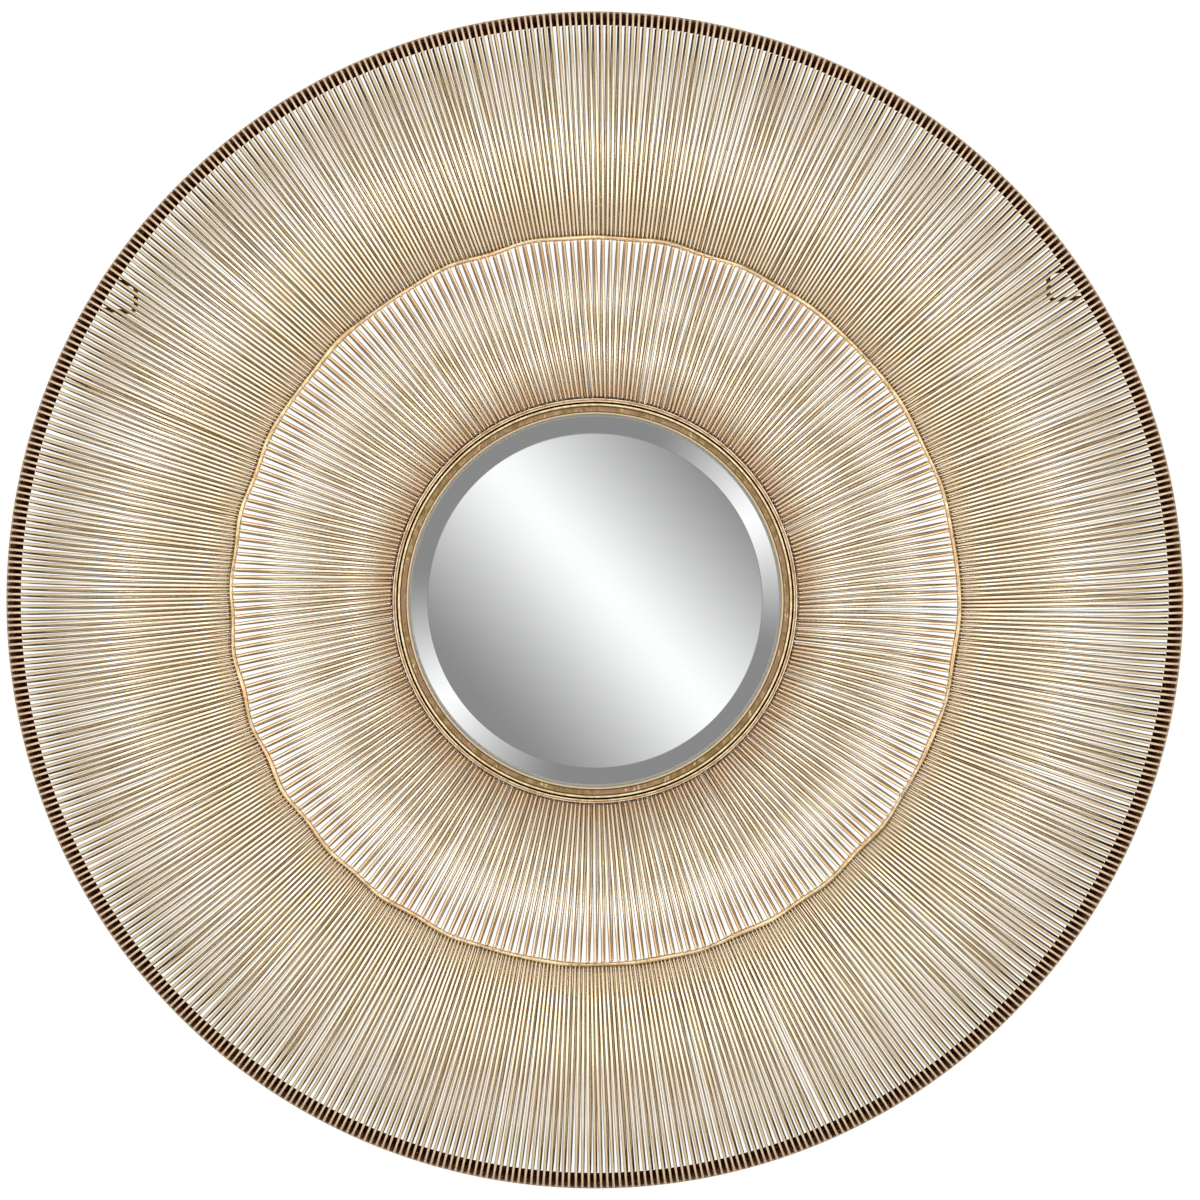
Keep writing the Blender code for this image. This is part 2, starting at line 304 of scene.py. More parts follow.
bpy.ops.mesh.primitive_ico_sphere_add(
    subdivisions=1, radius=0.0017, location=(centre_x + 0.3215, -0.0930, centre_z))
weld = bpy.context.object
bpy.ops.object.mode_set(mode="EDIT")
bpy.ops.transform.resize(value=(1.3, 0.8, 1))
bpy.ops.object.mode_set(mode="OBJECT")
bpy.ops.object.transform_apply(location=True, rotation=True, scale=True)
bpy.ops.object.shade_smooth()
weld_spots = np.empty(len(weld.data.vertices) * 3)
weld.data.vertices.foreach_get("co", weld_spots)
weld_spots = weld_spots.reshape(-1, 3) - (centre_x, 0, centre_z)
bpy.ops.object.select_all(action="DESELECT")
for number in range(288):
    angle = math.radians(1.25 * number + random.uniform(-0.06, 0.06))
    bead = weld.copy()
    bead.data = weld.data.copy()
    size = random.uniform(0.7, 1.25)
    out = 0.3215 + (weld_spots[:, 0] - 0.3215) * size + wobble(ring_swing, angle)
    across = weld_spots[:, 2] * size
    forward = -0.0930 + (weld_spots[:, 1] + 0.0930) * size
    turned = np.stack([centre_x + out * math.cos(angle) - across * math.sin(angle), forward,
                       centre_z + out * math.sin(angle) + across * math.cos(angle)], axis=1)
    bead.data.vertices.foreach_set("co", turned.ravel())
    bpy.context.collection.objects.link(bead)
    bead.select_set(True)
bpy.data.objects.remove(weld)
bpy.context.view_layer.objects.active = middle_rod
middle_rod.select_set(True)
bpy.ops.object.join()

rod_gold = Finish("champagne_gold_rod")
patches = rod_gold.noise(55)
grain = rod_gold.noise(900, 2)
burnt = rod_gold.rise(rod_gold.radius(), 0.3226, 0.3206)
clean = rod_gold.mix(rod_gold.rise(patches, 0.40, 0.60), paint(190, 166, 126), paint(220, 200, 162))
speck = rod_gold.rise(rod_gold.noise(420, 3), 0.56, 0.66)
specked = rod_gold.mix(speck * 0.6, clean, paint(120, 84, 48))
rod_gold.set(base_color=rod_gold.mix(burnt * 0.6, specked, paint(216, 164, 114)),
             metallic=1.0, roughness=0.28 + patches * 0.2)
rod_gold.bump(grain + patches, 0.3, 0.0005)
fit(middle_rod, rod_gold, "gold_ring", "middle_ring")

# Outer rim. A hoop of 50 mm strip on edge, 1.6 mm thick, its back edge on the wall. It is bronzed brown
# inside, painted darker towards the wall as painted shade, and its two edges are rubbed back to gold.
RIM_RADIUS = 0.53337
RIM_DEPTH = 0.050
RIM_STRIP = 0.0016
WALL_GAP = 0.00001
rim_inside = RIM_RADIUS - RIM_STRIP
rim = turned_ring("rim_hoop", [
    (RIM_RADIUS, 0.0003), (RIM_RADIUS, RIM_DEPTH - 0.0003), (RIM_RADIUS - 0.0003, RIM_DEPTH),
    (rim_inside + 0.0003, RIM_DEPTH), (rim_inside, RIM_DEPTH - 0.0003), (rim_inside, 0.025),
    (rim_inside, 0.0003), (rim_inside + 0.0003, WALL_GAP), (RIM_RADIUS - 0.0003, WALL_GAP)], 576)

bronze = Finish("bronzed_and_shaded_rim_strip")
patches = bronze.noise(38, 4, (1, 0.5, 1))
grain = bronze.noise(700, 3)
# Inside, the brown is darkest at the wall and lighter towards the front edge: painted shade deep in the
# hoop over its bronzed brown.
less_shade_to_front = bronze.rise(bronze.lift(), 0.020, 0.048)
brown = bronze.mix(less_shade_to_front, paint(48, 16, 4), paint(112, 70, 40))
bruised = bronze.mix(bronze.rise(patches, 0.45, 0.62) * 0.7, brown, paint(70, 34, 14))
speck = bronze.rise(bronze.noise(330, 2) + less_shade_to_front * 0.05, 0.66, 0.70)
splashed = bronze.mix(speck * 0.6, bruised, paint(206, 168, 130))
edge = bronze.rise(bronze.lift() + patches * 0.0008, 0.0488, 0.0500)
back_edge = bronze.rise(bronze.lift(), 0.0012, 0.0002)
worn_edge = bronze.mix(bronze.rise(grain, 0.42, 0.58), paint(112, 84, 56), paint(178, 148, 108))
rubbed = bronze.mix(edge, splashed, worn_edge)
bronze.set(base_color=bronze.mix(back_edge * 0.6, rubbed, paint(170, 138, 98)),
           metallic=edge, roughness=0.5 + patches * 0.3, specular_ior_level=0.0)
bronze.bump(grain + patches * 2, 0.3, 0.0005)
fit(rim, bronze, "rim_strip", "outer_rim")

# Inner wires. 3 mm wires in two layers, 288 in each, bent into a trough from the hub ring out to
# the middle ring. Each was placed by hand: it leans a little, and its mate behind lies near it.
WIRE_RADIUS = 0.00158
TIP_ROUNDING = 0.0008
INNER_COUNT = 288
# How far, in mm, the hub ends lie round from the ring ends, at every 30 degrees from +X.
INNER_LEAN = (-5.0, -6.4, -5.8, -5.2, -3.8, -4.4, -8.6, -3.3, -1.8, -1.1, -1.6, -1.6)


def bend_wire(name, start, end, level, start_turn, way, steps, tips):
    """One wire over two arcs, from start to end as (radius, lift); way is 1 for a crown."""
    turn = math.radians(start_turn)
    start_arc = (level - start[0]) / math.sin(turn)
    level_lift = start[1] + way * start_arc * (1 - math.cos(turn))
    end_turn = 2 * math.atan(way * (level_lift - end[1]) / (end[0] - level))
    end_arc = (end[0] - level) / math.sin(end_turn)
    leaving = (math.cos(turn), -way * math.sin(turn), 0)
    arriving = (math.cos(end_turn), way * math.sin(end_turn), 0)
    first_spot = (centre_x + start[0] - leaving[0] * tips[0],
                  -start[1] - leaving[1] * tips[0], centre_z)
    bpy.ops.object.select_all(action="DESELECT")
    bpy.ops.mesh.primitive_circle_add(
        vertices=6, radius=WIRE_RADIUS * 0.6, fill_type="NGON", location=first_spot,
        rotation=(0, math.radians(90), -way * turn))
    wire = bpy.context.object
    wire.name = name
    bpy.ops.object.mode_set(mode="EDIT")
    bpy.ops.mesh.select_all(action="SELECT")
    bpy.ops.mesh.extrude_region()
    bpy.ops.transform.resize(value=(1 / 0.6,) * 3, center_override=first_spot)
    bpy.ops.transform.translate(value=[part * TIP_ROUNDING for part in leaving])
    bpy.ops.mesh.extrude_region()
    bpy.ops.transform.translate(value=[part * (tips[0] - TIP_ROUNDING) for part in leaving])
    for count, angle, arc in ((steps[0], turn, start_arc), (steps[1], end_turn, end_arc)):
        bpy.ops.mesh.spin(steps=count, angle=-way * angle, axis=(0, 0, 1),
                          center=(centre_x + level, -(level_lift - way * arc), centre_z))
    last_spot = (centre_x + end[0], -end[1], centre_z)
    bpy.ops.mesh.extrude_region()
    bpy.ops.transform.resize(value=(0.6,) * 3, center_override=last_spot)
    bpy.ops.transform.translate(value=[part * tips[1] for part in arriving])
    bpy.ops.mesh.select_all(action="SELECT")
    bpy.ops.mesh.normals_make_consistent(inside=False)
    bpy.ops.object.mode_set(mode="OBJECT")
    bpy.ops.object.transform_apply(location=True, rotation=True, scale=True)
    bpy.ops.object.shade_smooth()
    facing = []
    for spot in wire.data.vertices:
        outward = math.sqrt(max(0.0, 1 - spot.normal.z ** 2))
        facing.append(0.5 + 0.5 * math.copysign(outward, -spot.normal.y))
    wire.data.attributes.new("facing", "FLOAT", "POINT").data.foreach_set("value", facing)
    return wire


def bunched(count, pitch, width, group):
    """Sideways shifts of wires that lie side by side with gaps of uneven width."""
    shifts = []
    while len(shifts) < count:
        gaps = np.array([0.12 + random.expovariate(1) for _ in range(group)])
        gaps *= group * (pitch - width) / gaps.sum()
        places = np.cumsum(gaps + width) - (gaps + width) / 2
        shifts += list(places - (np.arange(group) + 0.5) * pitch)
    return np.array(shifts[:count])


def nestled(shifts, pitch, play):
    """The shifts of a second layer, whose wires lie behind the gaps of the first."""
    middles = (shifts + np.roll(shifts, -1) + pitch) / 2
    return middles + [random.gauss(0, play) for _ in shifts]


def lay_wires(name, wire, count, lean, inner_shift, outer_shift, ring_end, rise, bow, aside=0.0):
    """Copies the wire all round; every copy leans, bows and rises a little on its own.
    ring_end is 0 or 1 for the end, inner or outer, that follows the middle ring's waves.
    All bow sideways by aside at mid length, which keeps a back layer behind the front's gaps."""
    spots = np.empty(len(wire.data.vertices) * 3)
    wire.data.vertices.foreach_get("co", spots)
    spots = spots.reshape(-1, 3)
    out, lift, across = spots[:, 0] - centre_x, -spots[:, 1], spots[:, 2] - centre_z
    along = np.clip((out - out.min()) / (out.max() - out.min()), 0, 1)
    belly = 4 * along * (1 - along)
    at_ring = along if ring_end else 1 - along
    bpy.ops.object.select_all(action="DESELECT")
    for number in range(count):
        angle = 2 * math.pi * number / count
        sector = number * 12 / count
        share = sector % 1
        drift = (lean[int(sector)] * (1 - share) + lean[(int(sector) + 1) % 12] * share) / 1000
        inward = drift + inner_shift[number]
        side = across + (1 - along) * inward + along * outer_shift[number]
        side = side + belly * random.gauss(aside, bow)
        reach = out + at_ring * wobble(ring_swing, angle)
        height = lift + belly * max(-rise, min(rise * 0.2, random.gauss(-rise * 0.3, rise * 0.4)))
        copy = wire.copy()
        copy.data = wire.data.copy()
        copy.data.vertices.foreach_set("co", np.stack([
            centre_x + reach * math.cos(angle) - side * math.sin(angle), -height,
            centre_z + reach * math.sin(angle) + side * math.cos(angle)], axis=1).ravel())
        shade = copy.data.attributes.new("shade", "FLOAT", "POINT")
        shade.data.foreach_set("value", np.full(len(out), random.random()))
        bpy.context.collection.objects.link(copy)
        copy.select_set(True)
    bpy.context.view_layer.objects.active = bpy.context.selected_objects[0]
    bpy.ops.object.join()
    laid = bpy.context.object
    bpy.data.objects.remove(wire)
    laid.name = name
    return laid


wire_gold = Finish("champagne_gold_wire")
wire_radius = wire_gold.radius()
shade = wire_gold.attribute("shade")
facing = wire_gold.attribute("facing")
patches = wire_gold.noise(45, 3)
grain = wire_gold.noise(800, 3)
body = wire_gold.mix(shade, paint(247, 234, 210), paint(231, 209, 175))
dusted = wire_gold.mix(wire_gold.rise(patches, 0.42, 0.62) * 0.5, body, paint(236, 224, 202))
near_ring = wire_gold.rise(wire_radius, 0.270, 0.318) * wire_gold.rise(wire_radius, 0.326, 0.325)
ring_side = wire_gold.mix(near_ring * (0.35 + shade * 0.6), dusted, paint(206, 166, 118))
near_hub = wire_gold.rise(wire_radius, 0.204, 0.186)
hub_side = wire_gold.mix(near_hub * 0.5, ring_side, paint(232, 192, 150))
near_rim = wire_gold.rise(wire_radius, 0.455, 0.490)
olive = wire_gold.mix(shade, paint(204, 188, 138), paint(218, 186, 142))
rim_side = wire_gold.mix(near_rim * 0.7, hub_side, olive)
outer_start = wire_gold.rise(wire_radius, 0.3270, 0.3275) * wire_gold.rise(wire_radius, 0.39, 0.33)
warm = wire_gold.mix(outer_start * 0.4, rim_side, paint(222, 192, 146))
over_strip = wire_gold.rise(wire_radius, 0.514, 0.520)
tanned = wire_gold.mix(over_strip * 0.5, warm, paint(236, 198, 166))
# The wires' sides are painted dark brown as painted shade, standing for the dark edges of round wires and
# the shade between neighbours; there is more of it near the middle ring and the rim.
to_front = wire_gold.add("ShaderNodeMath", {"operation": "ABSOLUTE"}, {0: facing - 0.5})
shaded = wire_gold.rise(to_front, 0.37, 0.27)
deeper_shade = near_ring + near_rim + outer_start
shaded_sides = wire_gold.mix(shaded * (0.74 + deeper_shade * 0.22), tanned, paint(98, 62, 30))
# Near the hub and the middle ring the wires' sides are painted darker still: painted shade in the gaps
# between the welded ends.
end_shade_zone = wire_gold.rise(wire_radius, 0.1860, 0.1830) + wire_gold.rise(
    wire_radius, 0.3240, 0.3245) * wire_gold.rise(wire_radius, 0.3310, 0.3270)
shaded_ends = wire_gold.mix(end_shade_zone * wire_gold.rise(to_front, 0.44, 0.32) * 0.8, shaded_sides,
                          paint(84, 44, 18))
hub_tip = wire_gold.rise(wire_radius, 0.1842, 0.1822)
browned = wire_gold.mix(hub_tip * 0.6, shaded_ends, paint(84, 44, 18))
spot = wire_gold.rise(grain, 0.68, 0.74)
wire_gold.set(base_color=wire_gold.mix(spot * 0.3, browned, paint(130, 102, 74)),
              metallic=0.75, roughness=0.17 + patches * 0.12, specular_ior_level=0.2)
wire_gold.bump(grain, 0.05, 0.0002)

random.seed(21)
inner_pitch = 2 * math.pi * 0.1834 / INNER_COUNT
inner_hub = bunched(INNER_COUNT, inner_pitch, 0.0031, 12)
inner_ring = np.array([random.gauss(0, 0.00015) for _ in range(INNER_COUNT)])
front = bend_wire("inner_front_wires", (0.1834, 0.0867), (0.3200, 0.0939), 0.2431, 38, -1,
                  (3, 4), (0.0022, 0.0014))
inner_front = lay_wires("inner_front_wires", front, INNER_COUNT, INNER_LEAN, inner_hub, inner_ring,
                        1, 0.0012, 0.00015)
fit(inner_front, wire_gold, "gold_wire", *[f"inner_wires_front_{n}" for n in range(1, 7)])
mate_hub = nestled(inner_hub, inner_pitch, 0.0003)
mate_ring = inner_ring + [random.gauss(0.0008, 0.00025) for _ in range(INNER_COUNT)]
back = bend_wire("inner_back_wires", (0.1834, 0.0697), (0.3200, 0.0907), 0.2431, 27, -1,
                 (3, 4), (0.0022, 0.0014))
inner_back = lay_wires("inner_back_wires", back, INNER_COUNT, INNER_LEAN, mate_hub, mate_ring,
                       1, 0.0012, 0.00015, 0.00115)
fit(inner_back, wire_gold, "gold_wire", *[f"inner_wires_back_{n}" for n in range(1, 7)])

# Outer wires. 576 wires of the same rod in each of two layers, bent over a crown from the middle
# ring to the rim: the front layer ends on the strip's front edge, the back layer inside its back.
OUTER_COUNT = 576
OUTER_LEAN = (-4.0, -3.4, -3.4, -3.4, -4.0, -1.4, -3.0, -3.0, -1.6, -3.2, -5.6, -5.6)
random.seed(31)
outer_pitch = 2 * math.pi * 0.3283 / OUTER_COUNT
outer_ring = bunched(OUTER_COUNT, outer_pitch, 0.0030, 12)
outer_rim = np.array([random.gauss(0, 0.00020) for _ in range(OUTER_COUNT)])
front = bend_wire("outer_front_wires", (0.3283, 0.0939), (0.5316, 0.0512), 0.3954, 40, 1,
                  (3, 5), (0.0040, 0.0008))
outer_front = lay_wires("outer_front_wires", front, OUTER_COUNT, OUTER_LEAN, outer_ring, outer_rim,
                        0, 0.0012, 0.00025)
fit(outer_front, wire_gold, "gold_wire", *[f"outer_wires_front_{n}" for n in range(1, 9)])
mate_ring = nestled(outer_ring, outer_pitch, 0.0002)
mate_rim = outer_rim + [random.gauss(0.0006 - 0.0008 * math.cos(2 * math.pi * n / OUTER_COUNT), 0.0003)
                        for n in range(OUTER_COUNT)]
back = bend_wire("outer_back_wires", (0.3283, 0.0907), (0.5288, 0.0065), 0.3850, 30, 1,
                 (3, 5), (0.0036, 0.0012))
outer_back = lay_wires("outer_back_wires", back, OUTER_COUNT, OUTER_LEAN, mate_ring, mate_rim,
                       0, 0.0012, 0.0003, 0.0005)
fit(outer_back, wire_gold, "gold_wire", *[f"outer_wires_back_{n}" for n in range(1, 9)])

# Hanging loops. A 4 mm wire bent into three sides of a rectangle, its two ends welded inside the
# rim at its back edge, one on each side. The top bar hangs over a hook or screw in the wall.
LOOP_WIRE = 0.0040
LOOP_BEND = 0.0060
LOOP_END_RADIUS = 0.5309
LEFT_LOOP = (-0.4250, 0.2945, 0.2900, 0.2650, 0.2685)
RIGHT_LOOP = (0.4200, 0.3042, 0.3025, 0.2765, 0.2792)


def hanging_loop(name, reach, rim_top, top, bottom, rim_bottom):
    """Extrudes the wire along its straight parts and spins it round its two corners."""
    side = math.copysign(1, reach)
    corners = [(side * math.sqrt(LOOP_END_RADIUS ** 2 - rim_top ** 2), rim_top), (reach, top),
               (reach, bottom), (side * math.sqrt(LOOP_END_RADIUS ** 2 - rim_bottom ** 2), rim_bottom)]
    corners = [np.array(corner) for corner in corners]
    ways = [(b - a) / np.linalg.norm(b - a) for a, b in zip(corners, corners[1:])]
    heading = math.atan2(ways[0][1], ways[0][0])
    loop_depth = -LOOP_WIRE / 2 - WALL_GAP
    bpy.ops.object.select_all(action="DESELECT")
    bpy.ops.mesh.primitive_circle_add(
        vertices=12, radius=LOOP_WIRE / 2, fill_type="NGON",
        location=(centre_x + corners[0][0], loop_depth, centre_z + corners[0][1]),
        rotation=(0, math.radians(90) - heading, 0))
    loop = bpy.context.object
    loop.name = name
    bpy.ops.object.mode_set(mode="EDIT")
    bpy.ops.mesh.select_all(action="SELECT")
    spot = corners[0]
    for corner, way, next_way in zip(corners[1:], ways, ways[1:] + [None]):
        if next_way is None:
            stop = corner
        else:
            turn = math.atan2(way[0] * next_way[1] - way[1] * next_way[0], way @ next_way)
            stop = corner - way * LOOP_BEND * math.tan(abs(turn) / 2)
        bpy.ops.mesh.extrude_region()
        bpy.ops.transform.translate(value=(stop[0] - spot[0], 0, stop[1] - spot[1]))
        spot = stop
        if next_way is not None:
            inside = np.array([-way[1], way[0]]) * math.copysign(LOOP_BEND, turn)
            middle = stop + inside
            bpy.ops.mesh.spin(steps=6, angle=turn, axis=(0, 1, 0), center=(
                centre_x + middle[0], loop_depth, centre_z + middle[1]))
            spot = corner + next_way * LOOP_BEND * math.tan(abs(turn) / 2)
    bpy.ops.mesh.select_all(action="SELECT")
    bpy.ops.mesh.normals_make_consistent(inside=False)
    bpy.ops.object.mode_set(mode="OBJECT")
    bpy.ops.object.transform_apply(location=True, rotation=True, scale=True)
    bpy.ops.object.shade_smooth_by_angle(angle=math.radians(40))
    return loop


loop_brown = Finish("brown_gold_loop")
patches = loop_brown.noise(120, 3)
grain = loop_brown.noise(700, 3)
loop_brown.set(base_color=loop_brown.mix(loop_brown.rise(patches, 0.46, 0.66), paint(58, 32, 12),
                                         paint(140, 104, 62)),
               metallic=0.8, roughness=0.34 + patches * 0.2)
loop_brown.bump(grain + patches, 0.3, 0.0004)
fit(hanging_loop("left_loop", *LEFT_LOOP), loop_brown, "hanger_wire", "hanger_left")
fit(hanging_loop("right_loop", *RIGHT_LOOP), loop_brown, "hanger_wire", "hanger_right")

# Glass frame. A rolled channel of sheet round the glass: a bright rounded outer lip, a flat face
# with an old-gold patina, and a small inner lip that holds the glass.
frame_channel = turned_ring("glass_channel", [
    (0.1764, 0.0688), (0.1764, 0.0840), (0.1757, 0.0840), (0.1757, 0.0878), (0.1754, 0.0885),
    (0.1748, 0.0888), (0.1742, 0.0887), (0.1736, 0.0882), (0.1732, 0.0874), (0.1728, 0.0868),
    (0.1724, 0.0866), (0.1702, 0.08662), (0.1684, 0.0866), (0.1680, 0.0868), (0.1676, 0.0871),
    (0.1671, 0.0871), (0.1667, 0.0868), (0.1665, 0.0862), (0.1664, 0.0806),
    (0.1693, 0.0806), (0.1693, 0.0688)], 384)

old_gold = Finish("antique_gold_channel")
frame_radius = old_gold.radius()
blotch = old_gold.noise(42, 4)
mottle = old_gold.noise(160, 5)
scratches = old_gold.noise(420, 3, (1, 1, 0.3))
tan = old_gold.mix(old_gold.rise(mottle, 0.38, 0.62), paint(116, 94, 62), paint(152, 128, 94))
mauve = old_gold.mix(old_gold.rise(blotch, 0.48, 0.60), tan, paint(138, 110, 86))
green = old_gold.mix(old_gold.rise(blotch, 0.46, 0.36), mauve, paint(118, 102, 62))
scratched = old_gold.mix(old_gold.rise(scratches, 0.60, 0.68) * 0.5, green, paint(226, 206, 172))
dented = old_gold.mix(old_gold.rise(scratches, 0.40, 0.33) * 0.6, scratched, paint(110, 84, 56))
lip = old_gold.rise(frame_radius, 0.17365, 0.17400)
lip_gold = old_gold.mix(old_gold.rise(mottle, 0.40, 0.60), paint(196, 170, 128), paint(220, 200, 164))
lipped = old_gold.mix(lip, dented, lip_gold)
# The dark lines at the foot of the outer lip and just outside the inner lip are painted shadow.
valley_shadow = old_gold.rise(frame_radius, 0.17250, 0.17290) * old_gold.rise(frame_radius, 0.17385, 0.17345)
inner_shadow_line = old_gold.rise(frame_radius, 0.16785, 0.16805) * old_gold.rise(frame_radius, 0.16915, 0.16885)
inner_lip = old_gold.rise(frame_radius, 0.16800, 0.16780)
with_valley_shadow = old_gold.mix(valley_shadow * 0.85, lipped, paint(116, 92, 44))
with_shadow_line = old_gold.mix(inner_shadow_line * 0.9, with_valley_shadow, paint(84, 64, 34))
with_inner = old_gold.mix(inner_lip * 0.85, with_shadow_line, paint(198, 178, 146))
# The outer wall, in the narrow gap against the hub strip, is painted near black and not metal: painted
# shade between the parts.
outer_wall_shade = old_gold.rise(frame_radius, 0.17555, 0.17575)
# The inner wall above the glass is painted the grey that the glass reflects, and not metal: a painted
# reflection.
reflection_grey_wall = old_gold.rise(frame_radius, 0.16670, 0.16655)
with_walls = old_gold.mix(reflection_grey_wall, old_gold.mix(outer_wall_shade, with_inner, paint(44, 28, 14)),
                          paint(158, 152, 142))
old_gold.set(base_color=with_walls, metallic=(1 - outer_wall_shade) * (1 - reflection_grey_wall) * 0.9,
             roughness=0.34 + mottle * 0.25, specular_ior_level=0.0)
old_gold.bump(mottle + scratches * 0.5, 0.35, 0.0006)
fit(frame_channel, old_gold, "frame_channel", "glass_frame")

# Mirror glass. A 5 mm silvered plate with a flat ground bevel 20 mm wide, of which 16 mm shows,
# and a polished line where the bevel meets the flat. It lies in the channel, behind its inner lip.
GLASS_RADIUS = 0.1690
BEVEL_RADIUS = 0.1494
GLASS_FRONT = 0.0823
GLASS_THICKNESS = 0.0050
BEVEL_DROP = 0.0026
rim_of_glass = GLASS_THICKNESS - BEVEL_DROP
bpy.ops.object.select_all(action="DESELECT")
bpy.ops.mesh.primitive_cylinder_add(
    vertices=384, radius=GLASS_RADIUS, depth=rim_of_glass,
    location=(centre_x, -(GLASS_FRONT - GLASS_THICKNESS + rim_of_glass / 2), centre_z),
    rotation=(math.radians(90), 0, 0))
glass = bpy.context.object
glass.name = "bevelled_glass"
bpy.ops.object.transform_apply(location=True, rotation=True, scale=True)
bpy.ops.object.mode_set(mode="EDIT")
bpy.ops.mesh.select_mode(type="FACE")
bpy.ops.mesh.select_all(action="DESELECT")
bpy.ops.object.mode_set(mode="OBJECT")
for face in glass.data.polygons:
    face.select = face.normal.y < -0.9
bpy.ops.object.mode_set(mode="EDIT")
bpy.ops.mesh.inset(thickness=GLASS_RADIUS - BEVEL_RADIUS - 0.0003, depth=0)
bpy.ops.transform.translate(value=(0, -BEVEL_DROP + 0.00002, 0))
bpy.ops.mesh.inset(thickness=0.0006, depth=0)
bpy.ops.transform.translate(value=(0, -0.00002, 0))
bpy.ops.object.mode_set(mode="OBJECT")
bpy.ops.object.shade_smooth_by_angle(angle=math.radians(1))

silver = Finish("silvered_glass")
haze = silver.noise(14, 2)
silver.set(base_color=silver.mix(haze, paint(246, 247, 247), paint(249, 250, 250)), metallic=1.0,
           roughness=silver.rise(haze, 0.2, 0.8) * 0.012 + 0.004)
fit(glass, silver, "mirror_glass", "mirror_glass")

# Backing board. A 5 mm disc of black painted fibreboard that closes the channel behind the glass.
# It is on the wall side and isn't seen in the photograph, so it is plain.
BOARD_BACK = 0.0720
BOARD_FRONT = 0.0770
bpy.ops.object.select_all(action="DESELECT")
bpy.ops.mesh.primitive_cylinder_add(
    vertices=192, radius=0.1690, depth=BOARD_FRONT - BOARD_BACK,
    location=(centre_x, -(BOARD_BACK + BOARD_FRONT) / 2, centre_z),
    rotation=(math.radians(90), 0, 0))
board = bpy.context.object
board.name = "back_board"
bpy.ops.object.transform_apply(location=True, rotation=True, scale=True)
edge_bevel = board.modifiers.new("edge", "BEVEL")
edge_bevel.width = 0.0006
edge_bevel.segments = 2
bpy.ops.object.modifier_apply(modifier="edge")
bpy.ops.object.shade_smooth_by_angle(angle=math.radians(30))

black_board = Finish("black_fibreboard")
fibres = black_board.noise(420, 5, (1, 1, 0.25))
cloud = black_board.noise(9, 3)
scuff = black_board.rise(fibres + cloud * 0.4, 0.78, 0.92)
painted = black_board.mix(fibres, paint(24, 23, 22), paint(44, 42, 39))
black_board.set(base_color=black_board.mix(scuff * 0.5, painted, paint(92, 78, 62)),
                metallic=0.0, roughness=0.72 + fibres * 0.2)
black_board.bump(fibres, 0.5, 0.0006)
fit(board, black_board, "backing_board", "backing_board")

# Studio. The mirror hangs before a white background over a pale floor. Large soft lights stand
# above and to both sides, and a grey wall with soft white lights on it faces the glass.
bpy.ops.object.select_all(action="DESELECT")
bpy.ops.mesh.primitive_plane_add(size=1, location=(centre_x, -0.55, centre_z - 1.35))
floor = bpy.context.object
floor.name = "floor"
floor.scale = (4.4, 3.6, 1)
bpy.ops.object.transform_apply(location=True, rotation=True, scale=True)
pale = Finish("pale_floor")
pale.set(base_color=(0.78, 0.78, 0.77, 1), roughness=0.7)
floor.data.materials.append(pale.material)

STUDIO_WALL = 3.6
bpy.ops.mesh.primitive_circle_add(
    vertices=64, radius=1.75, fill_type="NGON", location=(centre_x, -STUDIO_WALL, centre_z),
    rotation=(math.radians(-90), 0, 0))
studio_wall = bpy.context.object
studio_wall.name = "studio_wall"
bpy.ops.object.transform_apply(location=True, rotation=True, scale=True)
studio_wall.visible_camera = False
lit_wall = Finish("lit_studio_wall")
wall_spot = lit_wall.add("ShaderNodeSeparateXYZ", {}, {0: lit_wall.from_centre()}, "X")
wall_height = lit_wall.add("ShaderNodeSeparateXYZ", {}, {0: lit_wall.from_centre()}, "Z")
across_band = (wall_spot + wall_height) * 0.7071 - (wall_height - wall_spot) * 0.0403
band = 1 - lit_wall.add("ShaderNodeMath", {"operation": "ABSOLUTE"}, {0: across_band}) * (1 / 0.38)
wall_radius = lit_wall.radius()
upright = (wall_height * wall_height) * wall_radius ** -2
near_axis = lit_wall.rise(wall_radius, 0.78, 0.71)
wall_angle = lit_wall.add("ShaderNodeMath", {"operation": "ARCTAN2"},
                          {0: wall_height, 1: wall_spot})
lobes = None
for degrees in (24.9, 215.5):
    off = lit_wall.add("ShaderNodeMath", {"operation": "WRAP"}, {
        0: wall_angle - math.radians(degrees), 1: math.pi, 2: -math.pi})
    lobe = 1 - lit_wall.add("ShaderNodeMath", {"operation": "ABSOLUTE"}, {0: off}) * (
        1 / math.radians(40.4))
    lobe = lit_wall.add("ShaderNodeMath", {"operation": "SMOOTH_MAX"}, {0: lobe, 1: 0.0, 2: 0.2})
    lobes = lobe if lobes is None else lobes + lobe
soft_band = lit_wall.add("ShaderNodeMath", {"operation": "SMOOTH_MAX"}, {0: band, 1: 0.0, 2: 0.2})
in_bevel = lit_wall.rise(wall_radius, 1.23, 1.28) * lit_wall.rise(wall_radius, 1.58, 1.53)
unseen = 1 - near_axis - in_bevel
shown = (soft_band * near_axis + lobes * in_bevel) * 0.53 + 0.545
capped = lit_wall.add("ShaderNodeMath", {"operation": "SMOOTH_MIN"}, {0: shown, 1: 1.036, 2: 0.15})
soft_white = capped + unseen * (0.75 + upright * 0.12)
lit_wall.set(base_color=(0, 0, 0, 1), specular_ior_level=0.0, emission_color=soft_white ** 2.2,
             emission_strength=1.0)
studio_wall.data.materials.append(lit_wall.material)


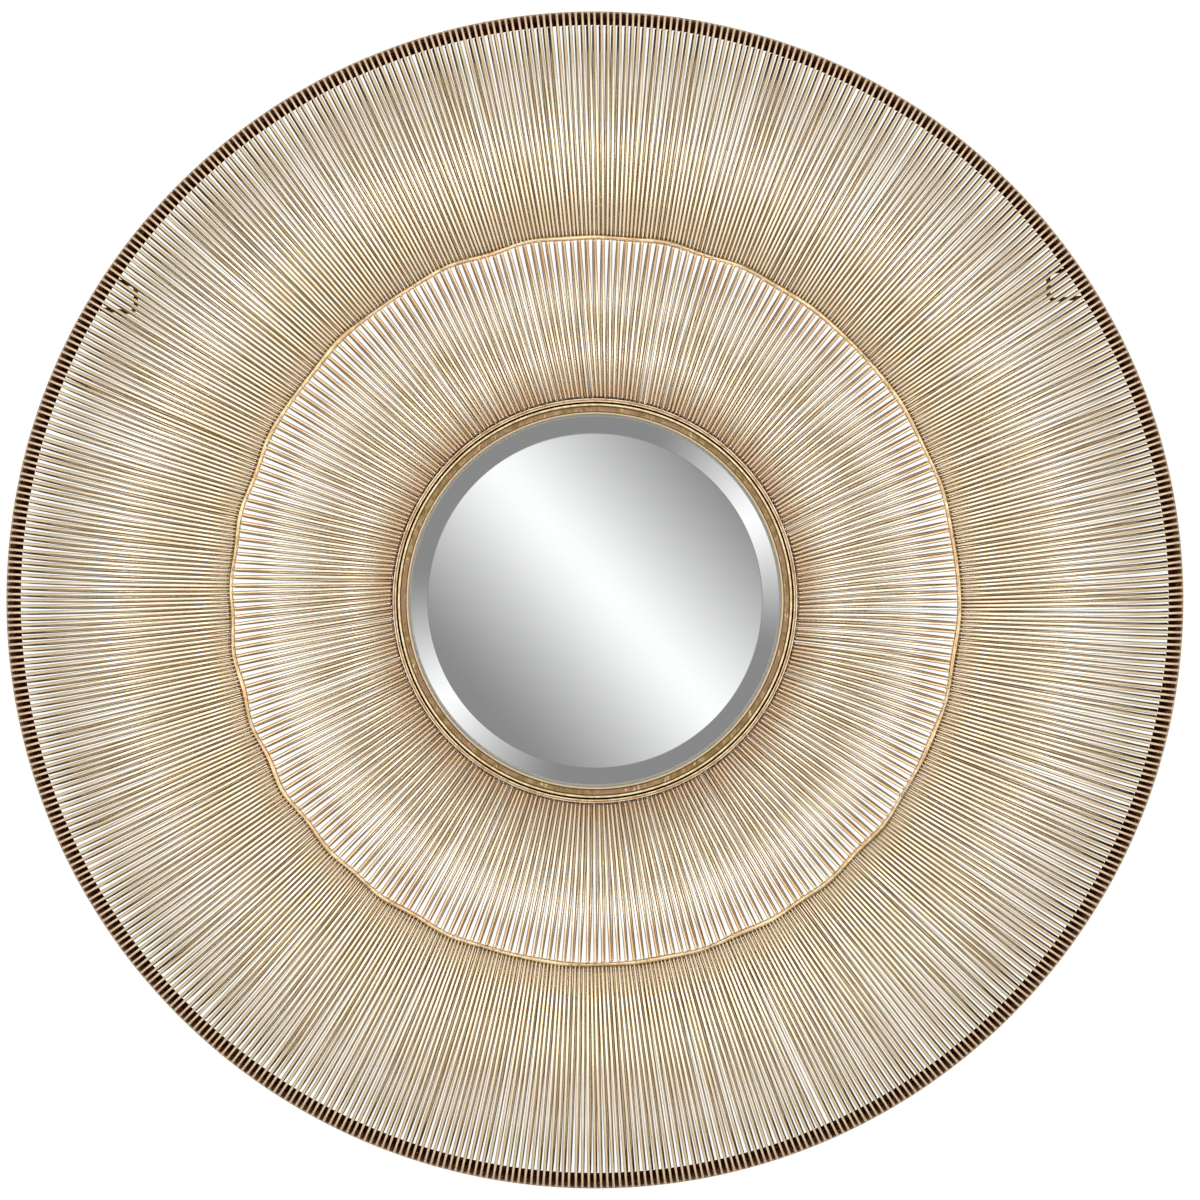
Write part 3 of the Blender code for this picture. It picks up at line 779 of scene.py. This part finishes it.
def soft_light(name, turn, tilt, distance, wide, high, brightness):
    """An area light that faces the mirror, turned sideways and tilted up from its axis."""
    turn, tilt = math.radians(turn), math.radians(tilt)
    spot = (centre_x + distance * math.sin(turn) * math.cos(tilt),
            -distance * math.cos(turn) * math.cos(tilt), centre_z + distance * math.sin(tilt))
    bpy.ops.object.light_add(type="AREA", location=spot,
                             rotation=(math.radians(90) - tilt, 0, turn))
    light = bpy.context.object
    light.name = name
    light.data.shape = "RECTANGLE"
    light.data.size = wide
    light.data.size_y = high
    light.data.energy = brightness * math.pi * wide * high
    light.visible_camera = False


soft_light("light_above", 0, 30, 3.3, 3.0, 0.7, 2.6)
soft_light("light_left", -38, 0, 3.3, 0.8, 3.6, 2.6)
soft_light("light_right", 38, 0, 3.3, 0.8, 3.6, 2.6)

world = bpy.data.worlds.new("studio")
bpy.context.scene.world = world
world.use_nodes = True
ROOM = ((0.0, 1.20), (0.06, 1.26), (0.13, 1.32), (0.20, 1.20), (0.27, 0.95), (0.34, 0.74),
        (0.42, 0.62), (0.50, 1.05), (1.0, 1.05))
around = world.node_tree.nodes["Background"]
seen = world.node_tree.nodes.new("ShaderNodeLightPath")
way = world.node_tree.nodes.new("ShaderNodeTexCoord")
parts = world.node_tree.nodes.new("ShaderNodeSeparateXYZ")
depth = world.node_tree.nodes.new("ShaderNodeMapRange")
room = world.node_tree.nodes.new("ShaderNodeValToRGB")
white = world.node_tree.nodes.new("ShaderNodeMix")
depth.inputs["From Min"].default_value = -1
while len(room.color_ramp.elements) < len(ROOM):
    room.color_ramp.elements.new(1)
for stop, (spot, level) in zip(room.color_ramp.elements, ROOM):
    stop.position = spot
    stop.color = (level, level, level, 1)
white.data_type = "RGBA"
white.inputs[7].default_value = (1, 1, 1, 1)
for start, end in ((way.outputs["Generated"], parts.inputs[0]),
                   (parts.outputs["Y"], depth.inputs["Value"]),
                   (depth.outputs[0], room.inputs[0]), (room.outputs[0], white.inputs[6]),
                   (seen.outputs["Is Camera Ray"], white.inputs[0]),
                   (white.outputs[2], around.inputs["Color"])):
    world.node_tree.links.new(start, end)
